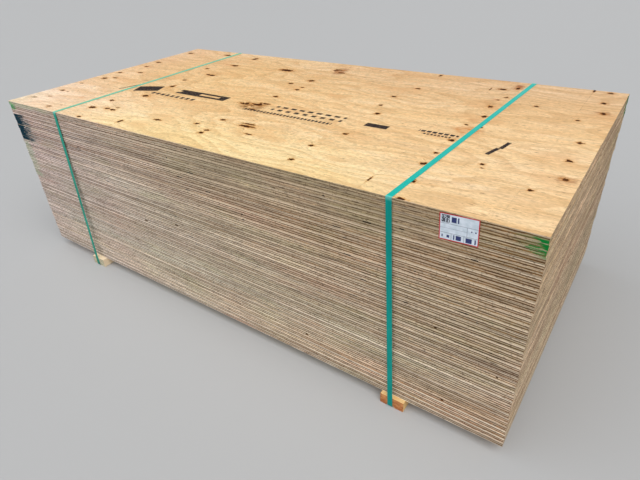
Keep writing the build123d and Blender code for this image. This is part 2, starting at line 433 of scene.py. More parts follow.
def ply_colour(g, e):
    """The plies' own colour: pale where the grain runs along the edge, dark where it is cut across."""
    by_ply = g.white(e.ply, e.seed, 1.7)
    strip = g.math("FLOOR", g.line(e.along, 1.2, g.times(by_ply, 9.0)))
    by_strip = g.white(strip, by_ply, e.seed)
    drift = g.noise(e.along, e.seed, e.ply, (1.6, 3.7, 2.9))
    pale = g.ramp(
        g.add(g.times(by_ply, 0.55), g.fade(drift, 0.3, 0.7, 0.0, 0.45)),
        (0.05, (0.53, 0.415, 0.31)),
        (0.35, (0.63, 0.508, 0.392)),
        (0.65, (0.7, 0.574, 0.455)),
        (0.95, (0.8, 0.672, 0.545)),
    )
    worn = g.ramp(
        g.add(g.times(by_strip, 0.6), g.fade(drift, 0.3, 0.7, 0.0, 0.4)),
        (0.05, (0.145, 0.08, 0.04)),
        (0.35, (0.225, 0.134, 0.073)),
        (0.65, (0.315, 0.2, 0.116)),
        (0.95, (0.46, 0.332, 0.216)),
    )
    # Painted shade: the upper cross ply, under the face ply, darker than the lower one; each sheet's tone
    # also differs at random
    worn = g.shade(worn, g.fade(e.ply, 0.5, 3.0, 1.18, 0.88), g.line(e.by_sheet, -0.45, 1.2))
    mood = g.noise(e.along, e.seed, 8.0, (1.1, 5.1, 1))
    uneven = g.noise(e.along, g.add(g.times(e.ply, 3.7), e.seed), 6.0, (0.8, 1.9, 1), 3.0, 0.65)
    worn = g.coats(
        worn,
        (g.fade(mood, 0.45, 0.72, 0.0, 0.45), (0.5, 0.39, 0.275)),
        (g.fade(uneven, 0.46, 0.66, 0.0, 0.6), (0.52, 0.405, 0.285)),
    )
    worn = g.shade(worn, g.line(e.low_down, -0.19, 0.95))

    rightward = g.fade(e.x, -0.6, 0.9)
    quiet = g.times(g.fade(e.z, 0.64, 0.73), g.fade(e.x, -0.3, 0.3), g.fade(e.x, 1.15, 0.85))
    ruddy = g.times(g.fade(e.z, 0.06, 0.068), g.fade(e.z, 0.15, 0.115), g.fade(e.x, 0.45, 0.95))
    lowest = g.times(g.fade(e.z, 0.068, 0.06), g.fade(e.x, 0.2, 0.8))
    low_right = g.times(rightward, e.low_down)
    worn = g.tints(worn, (rightward, (0.83, 0.76, 0.64)), (g.fade(e.x, 0.75, 1.2), (0.8, 0.75, 0.66)))
    worn = g.mix(g.times(quiet, 0.6), worn, (0.44, 0.36, 0.26))
    worn = g.mix(g.times(e.end, 0.45), worn, (0.56, 0.445, 0.325))
    worn = g.tints(worn, (g.times(ruddy, g.fade(e.end, 0.5, 0.4)), (0.92, 0.66, 0.48)))
    pale = g.tints(pale, (rightward, (1.02, 1.03, 1.04)), (low_right, (1.05, 1.08, 1.1)))
    pale = g.mix(g.times(quiet, 0.42), pale, (0.5, 0.41, 0.29))
    pale = g.tints(pale, (lowest, (0.9, 0.99, 1.0)))

    specks = e.grain((70, 5, 7.7), 3.0, 0.65)
    broken = e.grain((27, 3.5, 9.1), 3.0, 0.6)
    lively = g.fade(e.x, 0.3, 1.0, 0.42, 0.56)
    pale = g.shade(pale, g.line(e.end, 0.07, 1.0), g.vary(e.streak, 0.17), g.vary(e.fibre, 0.18))
    worn = g.shade(worn, g.vary(e.pores, 0.34), g.vary(specks, 0.42), g.vary(broken, lively))
    return g.mix(e.rough, pale, worn)


def stack_tints_and_painted_light(g, e, colour):
    """Painted light over the whole stack: lighter and cooler at the left and low down, browner and darker to
    the right and near the top, and on the ends lighter near the front than at the back. Besides, random tone
    from sheet to sheet and place to place, darker at the lower right of the long sides and at the foot of the
    ends.
    """
    patch = g.noise(e.x, e.y, e.z, (1.3, 1.3, 5.5))
    blush = g.noise(e.x, e.y, e.z, (4.5, 4.5, 19), 2.0, 0.55)
    # Painted light: the upper left of the long sides lighter and cooler
    upper_left_light = g.times(g.fade(e.x, 0.3, -1.0), g.fade(e.z, 0.3, 0.62), e.on_long)
    # Painted light: lighter and cooler to the left, browner and darker to the right and on the ends
    light_by_x = g.ramp(
        g.most(g.line(e.x, 0.4, 0.5), g.times(e.end, 0.97)),
        (0.02, (1.13, 1.18, 1.37)), (0.35, (1.09, 1.15, 1.2)),
        (0.68, (1.0, 1.0, 0.94)), (0.97, (0.94, 0.87, 0.78)),
    )
    # Painted light: lighter low down, darker and browner near the top
    light_by_z = g.ramp(
        g.math("DIVIDE", e.z, 0.81),
        (0.07, (1.32, 1.33, 1.4)), (0.09, (1.33, 1.3, 1.27)), (0.2, (1.32, 1.31, 1.29)),
        (0.28, (1.32, 1.35, 1.38)), (0.34, (1.16, 1.18, 1.2)), (0.5, (1.02, 1.01, 1.01)),
        (0.8, (0.97, 0.93, 0.89)), (0.98, (0.88, 0.83, 0.76)),
    )
    by_patch = g.ramp(patch, (0.34, (0.94, 0.99, 0.96)), (0.5, (0.98, 0.98, 0.98)), (0.66, (1.0, 0.95, 0.93)))
    by_blush = g.ramp(
        blush,
        (0.32, (0.95, 0.99, 0.93)), (0.46, (0.99, 0.99, 0.99)),
        (0.56, (1.0, 1.0, 1.0)), (0.68, (1.02, 0.965, 0.965)),
    )
    # Random tone in patches, and the ends a little browner low down
    colour = g.tints(
        colour, (1.0, light_by_x), (1.0, light_by_z), (1.0, by_patch), (1.0, by_blush),
        (g.times(e.end, e.low_down), (0.93, 0.91, 0.85)), (upper_left_light, (1.1, 1.13, 1.24)),
    )
    rows = g.noise(e.along, g.add(e.seed, e.height), 12.0, (1.5, 2.6, 1), 4.0, 0.75)
    area = g.noise(e.along, e.seed, 11.0, (3.1, 3.3, 1), 2.0, 0.6)
    right_foot = g.times(g.fade(e.x, 0.55, 1.0), g.fade(e.z, 0.3, 0.12), e.on_long)
    # Random tone by sheet, row and place; darker at the lower right of the long sides; the ends darker low
    # down, with painted light that makes them lighter near the front than at the back
    colour = g.shade(
        colour,
        g.line(e.by_sheet, 0.3, 0.85),
        g.vary(rows, g.line(e.end, -0.1, 0.28)),
        g.vary(area, g.line(e.end, 0.1, 0.12)),
        g.line(right_foot, -0.07, 1.0),
        g.line(e.end, g.fade(e.z, 0.05, 0.75, -0.35, 0.1), 1.0),
        g.line(e.end, g.fade(e.y, -0.45, 0.55, 0.08, -0.12), 1.0),
    )
    # The ends darker and browner at their foot
    return g.mix(g.times(e.end, g.fade(e.z, 0.16, 0.06), 0.55), colour, (0.52, 0.44, 0.36))


def edge_flaws(g, e, colour):
    """Painted highlights along the upper edges with painted shadow under them, painted shadows between
    sheets, glue lines, splits, flecks and painted shade in the voids.
    """
    # Painted highlight along each sheet's upper edge, stronger towards the right corner
    corner_highlight = g.times(g.fade(e.x, 1.1, 1.215, 0.0, 0.55), e.by_sheet, e.on_long)
    patchy = g.times(g.fade(e.streak, 0.3, 0.52, 0.5, 1.0), g.fade(e.x, -0.9, 1.2, 0.75, 1.15))
    edge_highlight = g.times(g.add(e.painted_highlight, corner_highlight), patchy)
    # Painted shadow in a band under the painted highlight, stronger low down
    below_highlight = g.times(g.fade(e.height, 0.5, 0.62), g.fade(e.height, 0.78, 0.72))
    groove = g.times(below_highlight, edge_highlight, g.fade(e.z, 0.55, 0.15, 0.6, 0.95))
    highlight_colour = g.mix(e.low_down, (0.9, 0.73, 0.53), (1.0, 0.86, 0.68))
    highlight_colour = g.mix(g.fade(e.x, 0.1, -0.9), highlight_colour, (0.9, 0.78, 0.67))

    seam = g.least(e.height, g.rest(e.height))
    seam_number = g.add(e.seed, g.math("GREATER_THAN", e.height, 0.5))
    opening = g.noise(e.along, seam_number, 3.0, (2.2, 11.3, 1), 3.0, 0.6)
    gap = g.math("SUBTRACT", seam, g.fade(opening, 0.48, 0.7, 0.0, 0.055))
    below_top = g.fade(e.z, 0.802, 0.798)
    shadow = g.times(g.fade(gap, 0.045, 0.0), g.fade(opening, 0.36, 0.6, 0.35, 1.0), below_top)
    split = g.times(g.fade(e.grain((26, 3.6, 13.7)), 0.6, 0.67), g.fade(e.rough, 0.0, 1.0, 0.22, 1.0))
    flecks = e.grain((120, 4.5, 21.3))
    return g.coats(
        colour,
        (groove, (0.135, 0.07, 0.034)),
        (g.times(edge_highlight, g.fade(e.height, 0.71, 0.79)), highlight_colour),
        (g.times(shadow, 0.88), (0.05, 0.034, 0.024)),
        (g.fade(e.glue, 0.018, 0.005, 0.0, 0.45), (0.13, 0.08, 0.05)),
        (g.times(split, g.fade(e.end, 0.0, 1.0, 0.72, 0.324)), (0.075, 0.04, 0.021)),
        (g.fade(flecks, 0.58, 0.67, 0.0, 0.6), (0.12, 0.07, 0.042)),
        # Painted shade in the voids, darker where they are deeper
        (g.fade(e.hollow, 0.03, 0.3, 0.0, 0.93), (0.022, 0.013, 0.008)),
    )


def edge_material():
    """Sawn edges of the sheets: five plies, pale along the grain and dark and torn across it."""
    g = Graph("plywood_edge", 0.85, 0.1)
    e = EdgeSpot(g)
    colour = edge_flaws(g, e, stack_tints_and_painted_light(g, e, ply_colour(g, e)))
    g.colour(mark_paint(g, colour, e.x, e.y, e.z, e.end))
    g.bump(g.add(g.times(e.pores, e.rough, 0.8), g.times(e.fibre, 0.35), g.times(e.glue, 2.0)), 0.6 * MM, 0.7)
    return g.material


def bar_mask(g, x, y, middle_x, middle_y, half_x, half_y, turn=0.0):
    """1 inside a turned bar of ink and 0 outside it. The middle and half sizes are in millimetres."""
    if turn:
        c, s = math.cos(turn), math.sin(turn)
        x, y = g.line(x, c, g.times(y, s)), g.line(y, c, g.times(x, -s))
        middle_x, middle_y = middle_x * c + middle_y * s, middle_y * c - middle_x * s
    across, down = g.apart(x, middle_x * MM), g.apart(y, middle_y * MM)
    half_x, half_y = half_x * MM, half_y * MM
    across = g.fade(across, half_x + INK_SOFT, half_x - INK_SOFT)
    return g.times(across, g.fade(down, half_y + INK_SOFT, half_y - INK_SOFT))


def ink_mask(g, x, y):
    """Plain bars and rows of dashes where the top face is printed."""
    masks = [bar_mask(g, x, y, *spot) for spot in INK_BARS]
    for *spot, pitch, share in INK_ROWS:
        phase = g.math("FRACT", g.math("DIVIDE", g.math("ADD", x, 3.0), pitch * MM))
        masks.append(g.times(bar_mask(g, x, y, *spot), g.fade(phase, share + 0.04, share - 0.04)))
    return g.most(*masks)


class FaceSpot:
    """A point of a sheet's face: its place, its nearest knot, and the noises that several layers share."""

    def __init__(self, g):
        self.x, self.y, self.z = x, y, z = g.place()
        u, v, self.dark = g.attribute("knot")
        radius = g.length(u, v)
        pull = g.times(g.fade(radius, 6.0, 0.6), self.dark)
        sway = g.noise(x, y, z, (3.2, 5.0, 1), 2.0, 0.55)
        lane = g.add(y, g.times(v, pull, 0.007), g.line(sway, 0.07, -0.035))
        self.burr = g.noise(x, y, z, (95, 150, 1))
        self.ragged = g.times(radius, g.vary(self.burr, 0.42))
        self.broad = g.noise(x, lane, z, (0.8, 2.8, 1))
        self.figure = g.noise(x, lane, z, (2.2, 21, 1), 4.0, 0.6)
        self.streaks = g.noise(x, lane, z, (11, 135, 1), 3.0, 0.62)
        self.fibre = g.noise(x, lane, z, (40, 620, 1), 2.0, 0.6)
        self.mottle = g.noise(x, y, z, (75, 130, 1), 3.0, 0.68)
        self.checks = g.noise(x, lane, z, (13, 390, 1), 2.0, 0.45)
        rings = g.add(g.times(self.broad, 17.0), g.times(lane, 9.0), g.times(self.figure, 0.5))
        growth = g.math("FRACT", rings)
        self.late = g.times(g.fade(growth, 0.35, 0.93), g.fade(growth, 1.0, 0.96))
        self.core = g.times(g.fade(self.ragged, 1.22, 1.02), self.dark)
        self.upper = g.fade(z, 0.8, 0.802)


def veneer_colour(g, f):
    """Bare veneer: broad figure, growth lines, streaks, clouds and fine checks."""
    x, y, z = f.x, f.y, f.z
    colour = g.ramp(
        g.add(g.times(f.broad, 0.45), g.times(f.figure, 0.55)),
        (0.34, (0.76, 0.5, 0.228)),
        (0.46, (0.82, 0.568, 0.28)),
        (0.55, (0.855, 0.618, 0.328)),
        (0.68, (0.9, 0.69, 0.41)),
    )
    dapple = g.noise(x, y, z, (38, 60, 1), 2.0, 0.6)
    busy = g.times(g.fade(x, 1.1, 0.3, 0.3, 1.0), g.fade(y, -0.6, -0.35, 0.55, 1.0))
    colour = g.shade(
        colour, g.vary(f.streaks, 0.1), g.vary(f.fibre, 0.05), g.vary(f.mottle, 0.15), 0.972,
        g.vary(dapple, g.times(busy, 0.17)),
    )
    return g.coats(
        colour,
        (g.times(g.fade(dapple, 0.53, 0.64, 0.0, 0.45), busy), (0.64, 0.37, 0.165)),
        (g.times(f.late, 0.32), (0.54, 0.3, 0.11)),
        (g.fade(g.noise(x, y, z, (4.5, 8.5, 4)), 0.54, 0.72, 0.0, 0.4), (0.7, 0.4, 0.17)),
        (g.fade(f.checks, 0.62, 0.7, 0.0, 0.6), (0.34, 0.185, 0.075)),
        (g.fade(g.noise(x, y, z, (40, 190, 9)), 0.65, 0.71, 0.0, 0.6), (0.24, 0.125, 0.055)),
    )


def face_marks(g, f, colour):
    """Stains, splits, knots and ink, over the veneer."""
    flaky = g.noise(f.x, f.y, f.z, (24, 130, 1), 2.0, 0.6)
    grain = g.fade(flaky, 0.4, 0.58, 0.25, 1.0)
    for middle_x, middle_y, half_x, half_y, strength, tone in STAINS:
        across = g.line(f.x, 1 / (half_x * MM), -middle_x / half_x)
        down = g.line(f.y, 1 / (half_y * MM), -middle_y / half_y)
        reach = g.times(g.length(across, down), g.vary(f.mottle, 0.3))
        colour = g.mix(g.times(g.fade(reach, 1.15, 0.45, 0.0, strength), grain), colour, tone)
    sway = g.noise(f.y, f.x, 0.0, (14, 1, 1))
    bent = g.add(f.x, g.line(sway, 4 * MM, -2 * MM))
    broken = g.fade(g.noise(f.y, f.x, 2.0, (32, 1, 1), 2.0, 0.6), 0.4, 0.58, 0.15, 1.0)
    for middle_x, middle_y, half_y, strength in SPLITS:
        split = bar_mask(g, bent, f.y, middle_x, middle_y, SPLIT_HALF_WIDTH, half_y)
        colour = g.mix(g.times(split, broken, strength), colour, (0.16, 0.085, 0.045))

    colour = g.coats(
        colour,
        (g.times(g.fade(f.ragged, 3.0, 1.1), f.dark, 0.5), (0.6, 0.28, 0.06)),
        (g.times(g.fade(f.ragged, 1.65, 1.2), f.dark, 0.88), (0.34, 0.115, 0.01)),
        (g.least(g.times(f.core, 1.25), 1.0), (0.052, 0.013, 0.001)),
    )
    ink_x = g.add(f.x, g.line(f.burr, 4 * MM, -2 * MM))
    ink_y = g.add(f.y, g.line(f.mottle, 4 * MM, -2 * MM))
    pressed = g.fade(g.noise(f.x, f.y, f.z, (60, 240, 1), 3.0, 0.7), 0.32, 0.46, 0.72, 0.98)
    return g.mix(g.times(ink_mask(g, ink_x, ink_y), pressed, f.upper), colour, (0.016, 0.013, 0.017))


def face_tints_and_painted_light(g, f, colour):
    """Painted light over the top face, lighter and cooler at the left and near the front and darker at the
    far side; a green breath of paint; and the ledges of the lower sheets.
    """
    # Painted light: cooler towards the left
    light_by_x = g.ramp(
        g.line(f.x, 0.4, 0.5),
        (0.02, (1.06, 1.06, 1.28)), (0.12, (1.04, 1.02, 1.12)),
        (0.3, (1.04, 1.01, 1.0)), (0.97, (1.03, 1.01, 1.07)),
    )
    # Painted light: the near left and near middle lighter and cooler, the far side darker
    near_left_light = g.times(g.fade(f.x, 0.1, -0.6), g.fade(f.y, -0.1, -0.5))
    far_side_shade = g.times(g.fade(f.y, -0.1, 0.61), g.fade(f.x, -1.0, 0.6, 0.45, 1.0))
    near_middle_light = g.times(g.fade(f.y, -0.22, -0.58), g.fade(f.x, -0.9, -0.3), g.fade(f.x, 1.0, 0.5))
    colour = g.tints(
        colour,
        (1.0, light_by_x),
        (near_left_light, (1.09, 1.17, 1.4)),
        (far_side_shade, (0.84, 0.79, 0.79)),
        (near_middle_light, (1.08, 1.18, 1.16)),
    )
    green = g.times(g.fade(f.x, -1.05, -CORNER_X), g.fade(f.y, -0.3, -CORNER_Y), f.upper, 0.18)
    # Of the sheets below the top one, only thin ledges of the upper face show
    ledge = g.times(g.fade(f.z, 0.052, 0.056), g.fade(f.z, 0.793, 0.789), 0.9)
    return g.coats(colour, (green, (0.42, 0.58, 0.3)), (ledge, (0.56, 0.45, 0.33)))


def face_material():
    """Sanded face veneer: grain along X, knots, stains, splits and ink bars."""
    g = Graph("plywood_face", 0.66, 0.05)
    f = FaceSpot(g)
    g.colour(face_tints_and_painted_light(g, f, face_marks(g, f, veneer_colour(g, f))))
    veneer = g.add(g.times(f.streaks, 0.6), g.times(f.fibre, 0.5), g.times(f.late, 0.25))
    g.bump(g.line(f.core, -1.5, veneer), 0.35 * MM, 0.6)
    g.roughness(g.fade(f.figure, 0.3, 0.7, 0.58, 0.74))
    return g.material


def add_object(name, points, faces, *materials):
    """A new mesh object in the scene."""
    mesh = bpy.data.meshes.new(name)
    mesh.from_pydata(points, [], faces)
    for material in materials:
        mesh.materials.append(material)
    mesh.update()
    thing = bpy.data.objects.new(name, mesh)
    bpy.context.scene.collection.objects.link(thing)
    return thing


def carry(mesh, name, domain, values):
    """Writes three numbers for each point or face corner of a mesh."""
    layer = mesh.attributes.new(name, "FLOAT_VECTOR", domain)
    layer.data.foreach_set("vector", np.asarray(values, np.float32).ravel())


def cells(table, loop=False, tube=False):
    """Corners of each cell of a table. A loop joins its last row to the first, a tube its last column."""
    if loop:
        table = np.concatenate([table, table[:1]])
    if tube:
        table = np.concatenate([table, table[:, :1]], 1)
    return np.stack([table[:-1, :-1], table[1:, :-1], table[1:, 1:], table[:-1, 1:]], 2)


class Shell:
    """Points and faces of one or more closed bodies, with what each face's corners carry."""

    def __init__(self):
        self.points, self.faces, self.uv, self.material = [], [], [], []
        self.carried = {"ply": [], "mark": [], "knot": []}
        self.count = 0

    def add_points(self, points):
        """Adds points and returns the number of the first one."""
        start = self.count
        self.points.append(points.reshape(-1, 3))
        self.count += len(self.points[-1])
        return start

    def add_faces(self, faces, uv, material, **carried):
        """Faces of one size. What their corners carry comes as arrays of (faces, corners, 3) by name."""
        self.faces.extend(faces.tolist())
        self.uv.append(uv.reshape(-1, 2))
        self.material.extend([material] * len(faces))
        for name, parts in self.carried.items():
            parts.append(carried.get(name, np.zeros((faces.size, 3))).reshape(-1, 3))

    def build(self, name, *materials):
        piece = add_object(name, np.concatenate(self.points).tolist(), self.faces, *materials)
        for label, parts in self.carried.items():
            carry(piece.data, label, "CORNER", np.concatenate(parts))
        layer = piece.data.uv_layers.new(name="OFBake")
        layer.data.foreach_set("uv", np.concatenate(self.uv).astype(np.float32).ravel())
        piece.data.polygons.foreach_set("material_index", np.array(self.material, np.int32))
        piece.data.update()
        return piece


def ring_profile():
    """Heights as shares of a sheet's thickness, with the number of the ply that each point is on."""
    heights, plies = [0.0, ARRIS_SHARE], [0, 0]
    for number, border in enumerate(PLY_BORDERS):
        heights += [border - LIP / 2, border + LIP / 2]
        plies += [number, number + 1]
        if number % 2 == 0:
            heights.append((border + PLY_BORDERS[number + 1]) / 2)
            plies.append(number + 1)
    return np.array([*heights, 1 - ARRIS_SHARE, 1.0]), np.array([*plies, 4, 4])


HEIGHTS, PLIES = ring_profile()


def stations(low, high, step, voids):
    """Places along a side, a little uneven, with steep steps where a void begins and ends."""
    count = max(int(round((high - low) / step)), 2)
    places = np.linspace(low, high, count + 1)
    places[1:-1] += rng.uniform(-0.3, 0.3, count - 1) * step
    extra = []
    for _, middle, half, _, _ in voids:
        outer, inner = half + VOID_STEP, half - VOID_STEP
        for offset in (-outer, -inner, -0.3 * half, 0.35 * half, inner, outer):
            if low + CORNER_ROOM < middle + offset < high - CORNER_ROOM:
                extra.append(middle + offset)
    if extra:
        extra = np.array(sorted(extra))
        keep = np.abs(places[:, None] - extra).min(1) > CLEAR_OF_VOID
        keep[[0, -1]] = True
        places = np.sort(np.concatenate([places[keep], extra]))
    apart = np.concatenate([[True], np.diff(places) > SMALLEST_STEP])
    apart[-1] = True
    return places[apart]


def smooth_noise(places, wave, seed):
    """A smooth random curve from -1 to 1 with about the given wavelength."""
    local = np.random.default_rng(seed)
    total = np.zeros(len(places))
    for stretch in (0.6, 0.9, 1.4, 2.3):
        total += np.sin(2 * math.pi * (places / (wave * stretch) + local.uniform()))
    return total / 4


def side_voids(floor, thickness):
    """Voids of one sheet: side, middle, half length, ply and depth."""
    found = []
    for x, z, length in FRONT_VOIDS:
        share = (z * MM - floor) / thickness
        if 0 <= share < 1.016:
            ply = 1 if share < 0.5 else 3
            if abs(share - 0.5) < 0.07:
                ply = 2
            found.append((FRONT, x * MM, length * MM / 2, ply, rng.uniform(7, 13) * MM))
    for side, half_side, count, plies in GUESSED_VOIDS:
        for _ in range(rng.poisson(count)):
            length = rng.uniform(6, 26) * MM
            ply = int(rng.choice(plies))
            found.append((side, rng.uniform(-half_side, half_side), length / 2, ply, rng.uniform(5, 12) * MM))
    return found


class Sheet:
    """One sheet as a closed body: ring-profiled edges, and caps that are flat or, on the top one, a grid."""

    def __init__(self, number, low, high, step, chipped):
        self.number, self.low, self.high, self.chipped = number, low, high, chipped
        self.voids = side_voids(low.z, high.z - low.z)
        self.xs = stations(low.x, high.x, step, [void for void in self.voids if void[0] in (FRONT, BACK)])
        self.ys = stations(low.y, high.y, step, [void for void in self.voids if void[0] in (RIGHT, LEFT)])
        ring = [(x, low.y, FRONT) for x in self.xs[:-1]]
        ring += [(high.x, y, RIGHT) for y in self.ys[:-1]]
        ring += [(x, high.y, BACK) for x in self.xs[:0:-1]]
        ring += [(low.x, y, LEFT) for y in self.ys[:0:-1]]
        ring = np.array(ring)
        self.ring, self.side = ring[:, :2], ring[:, 2].astype(int)
        self.on_long = self.side % 2 == 0
        self.along = np.where(self.on_long, ring[:, 0], ring[:, 1])

    def shape(self):
        """Points of the edge, a column of the profile for each place, and how deep each lies in a void."""
        total, rings = len(self.ring), len(HEIGHTS)
        inward = np.isclose(self.ring, self.low.xy).astype(float) - np.isclose(self.ring, self.high.xy)
        corner = np.abs(inward).sum(1) > 1
        cross = PLIES % 2 == 1
        rough = np.where(self.on_long[:, None], cross, ~cross)
        rough[:, [0, 1, -2, -1]] = False
        inset = np.where(rough, ROUGH_INSET * (0.7 + 0.6 * rng.random((total, rings))), 0.0)
        inset += np.where(rough, 0.0, SMOOTH_INSET * rng.random((total, rings)))
        for column, wave, seed in ((0, 0.31, 100), (-1, 0.27, 300)):
            wear = np.abs(smooth_noise(self.along, wave, seed + self.number))
            inset[:, column] = ARRIS_INSET * (0.35 + 0.65 * wear)
        depth = np.zeros((total, rings))
        for side, middle, half, ply, deep in self.voids:
            inside = (self.side == side) & (np.abs(self.along - middle) < half)
            uneven = deep * (0.75 + 0.5 * rng.random(total))
            depth[np.ix_(inside, PLIES == ply)] = uneven[inside, None]
        depth[corner] = 0
        inset = np.minimum(inset + depth, DEEPEST)
        lift = np.tile(HEIGHTS, (total, 1)) * (self.high.z - self.low.z)
        lift[:, 1:-1] += rng.uniform(-0.1, 0.1, (total, rings - 2)) * MM
        chips = (rng.random(total) < self.chipped) & ~corner
        inset[chips, -1] += rng.uniform(1.0, 3.5, chips.sum()) * MM
        lift[chips, -2] -= rng.uniform(0.3, 1.2, chips.sum()) * MM
        inset[chips, -2] += 0.3 * MM
        points = np.empty((total, rings, 3))
        points[:, :, :2] = self.ring[:, None] + inward[:, None] * inset[:, :, None]
        points[:, :, 2] = self.low.z + lift
        return points, depth

    def add_edges(self, shell, place, rows, cap_share):
        """Adds the quads of the edge, and returns the numbers of its points."""
        points, depth = self.shape()
        total, rings = depth.shape
        index = np.arange(total * rings).reshape(total, rings) + shell.add_points(points)
        after = np.roll(self.ring, -1, 0)
        far = np.where(self.on_long, after[:, 0], after[:, 1])
        pair = np.stack([self.along, far, far, self.along], -1)[:, None]
        pair = np.broadcast_to(pair, (total, rings - 1, 4))

        def spread(values):
            return np.broadcast_to(values[:, None, None], pair.shape)

        def level(shares):
            return cells(np.tile(shares, (total, 1)), loop=True)

        # Strength of the painted highlight along each side's upper edge
        highlight_strengths = rng.uniform(0.0, 0.45, 4) * rng.uniform(0.0, 1.0, 4)
        highlight_strengths[FRONT] = EDGE_HIGHLIGHTS.get(self.number, 0.08)
        # How deep each point lies in a void, which sets the painted shade there
        hollow = cells(depth / FULL_SHADE_DEPTH, loop=True)
        ply = np.stack([pair, level(HEIGHTS), spread(self.number + 50.0 * self.side)], -1)
        mark = np.stack([spread(self.side % 2), hollow, spread(highlight_strengths[self.side])], -1)

        # Bake map: its rows hold half a long side or one short side each, and a sheet has six
        arc = np.concatenate([[0], np.cumsum(np.diff(HEIGHTS) + 0.012)])
        second_half = self.on_long & (self.along + far > 0)
        row = SIDE_ROWS[self.side] + second_half + 6 * place
        start = np.where(self.on_long, np.where(second_half, 0.0, -HALF_LENGTH), -HALF_LENGTH / 2)
        tall = (1 - cap_share) / rows
        u = (pair - spread(start) + ROW_ROOM) / (HALF_LENGTH + 2 * ROW_ROOM)
        v = cap_share + spread(row) * tall + ROW_MARGIN + level(arc / arc[-1]) * (tall - 2 * ROW_MARGIN)
        uv = np.stack([ROW_MARGIN + u * (1 - 2 * ROW_MARGIN), v], -1)
        shell.add_faces(cells(index, loop=True).reshape(-1, 4), uv, 0, ply=ply, mark=mark)
        return index

    def cap_uv(self, corners, start, size):
        """Places of a cap's corners in the box of the bake map that it fills."""
        flat = (corners - np.array(self.low.xy)) / np.array(self.high.xy - self.low.xy)
        return np.array(start) + flat * np.array(size)

    def add_underside(self, shell, index, start, size=HIDDEN_CAP):
        shell.add_faces(index[::-1, 0][None], self.cap_uv(self.ring[::-1], start, size), 1)

    def add_flat_top(self, shell, index, start, size=HIDDEN_CAP):
        shell.add_faces(index[:, -1][None], self.cap_uv(self.ring, start, size), 1)

    def add_top_grid(self, shell, index, cap_share):
        """The top face as a grid of cells, each of which knows its nearest knot."""
        nx, ny = len(self.xs), len(self.ys)
        front, right, back, left = np.split(index[:, -1], [nx - 1, nx + ny - 2, 2 * nx + ny - 3])
        table = np.full((nx, ny), -1)
        table[:-1, 0], table[-1, :-1] = front, right
        table[1:, -1], table[0, 1:] = back[::-1], left[::-1]
        spots = np.stack(np.meshgrid(self.xs, self.ys, indexing="ij"), -1)
        inner = spots[1:-1, 1:-1]
        knots = np.array(KNOTS)
        middles, darks = knots[:, :2] * MM, knots[:, 4] ** 0.6
        # The picture blurs what is far off, so knots were measured too small at the left, too large elsewhere
        sizes = knots[:, 2:4] * MM * np.where(knots[:, :1] < -100, 1.12, 0.9)
        closeness = np.exp(-(((inner[:, :, None] - middles) / sizes) ** 2).sum(-1) / 1.3)
        dent = (closeness * darks).max(-1) * KNOT_DENT
        wave = 0.12 * MM * (1 + smooth_noise(inner[:, :, 1].ravel(), 0.09, 7).reshape(dent.shape))
        heights = self.high.z - dent - wave - 0.1 * MM * rng.random(dent.shape)
        start = shell.add_points(np.concatenate([inner, heights[:, :, None]], -1))
        table[1:-1, 1:-1] = start + np.arange(dent.size).reshape(dent.shape)
        corners = cells(spots).reshape(-1, 4, 2)
        nearest = (((corners.mean(1)[:, None] - middles) / sizes) ** 2).sum(-1).argmin(1)
        local = (corners - middles[nearest][:, None]) / sizes[nearest][:, None]
        dark = np.broadcast_to(darks[nearest][:, None, None], (len(corners), 4, 1))
        uv = self.cap_uv(corners, (0.002, 0.03), (0.996, cap_share - 0.034))
        shell.add_faces(cells(table).reshape(-1, 4), uv, 1, knot=np.concatenate([local, dark], -1))


def sheet_boxes():
    """Corners of each sheet of the node that holds all but the top one, from the lowest up."""
    places = np.array([v.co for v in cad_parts["sheets"].data.vertices], float)
    levels = np.unique(np.round(places[:, 2], 5))
    boxes = []
    for bottom, top in zip(levels[::2], levels[1::2]):
        own = places[(places[:, 2] > bottom - 1e-5) & (places[:, 2] < top + 1e-5)]
        boxes.append((Vector(own.min(0)), Vector(own.max(0))))
    return boxes


def dress(piece, slot, *nodes):
    """Hangs a finished piece on the frame in place of its nodes."""
    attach(piece, "root")
    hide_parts(*nodes)


def build_sheets(edge, face):
    boxes = sheet_boxes()
    for start in range(0, len(boxes), SHEETS_A_PIECE):
        group = boxes[start:start + SHEETS_A_PIECE]
        shell = Shell()
        # Only the lowest sheet's underside shows, so only there does the bake map give it room
        cap_share = 0.26 if start == 0 else 0.02
        for place, (low, high) in enumerate(group):
            sheet = Sheet(start + place, low, high, STATION_STEP, CHIPPED)
            index = sheet.add_edges(shell, place, 6 * len(group), cap_share)
            if sheet.number == 0:
                sheet.add_underside(shell, index, (0.004, 0.02), (0.992, cap_share - 0.024))
            else:
                sheet.add_underside(shell, index, (0.02 + 0.03 * place, 0.001))
            sheet.add_flat_top(shell, index, (0.52 + 0.03 * place, 0.001))
        piece = shell.build(f"plywood_sheets_{start + 1}_to_{start + len(group)}", edge, face)
        dress(piece, "plywood", "sheets")
    shell = Shell()
    cap_share = 0.84
    sheet = Sheet(len(boxes), *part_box("top_sheet"), TOP_CELL, TOP_CHIPPED)
    index = sheet.add_edges(shell, 0, 6, cap_share)
    sheet.add_underside(shell, index, (0.02, 0.001))
    sheet.add_top_grid(shell, index, cap_share)
    dress(shell.build("plywood_top_sheet", edge, face), "plywood_face", "top_sheet")


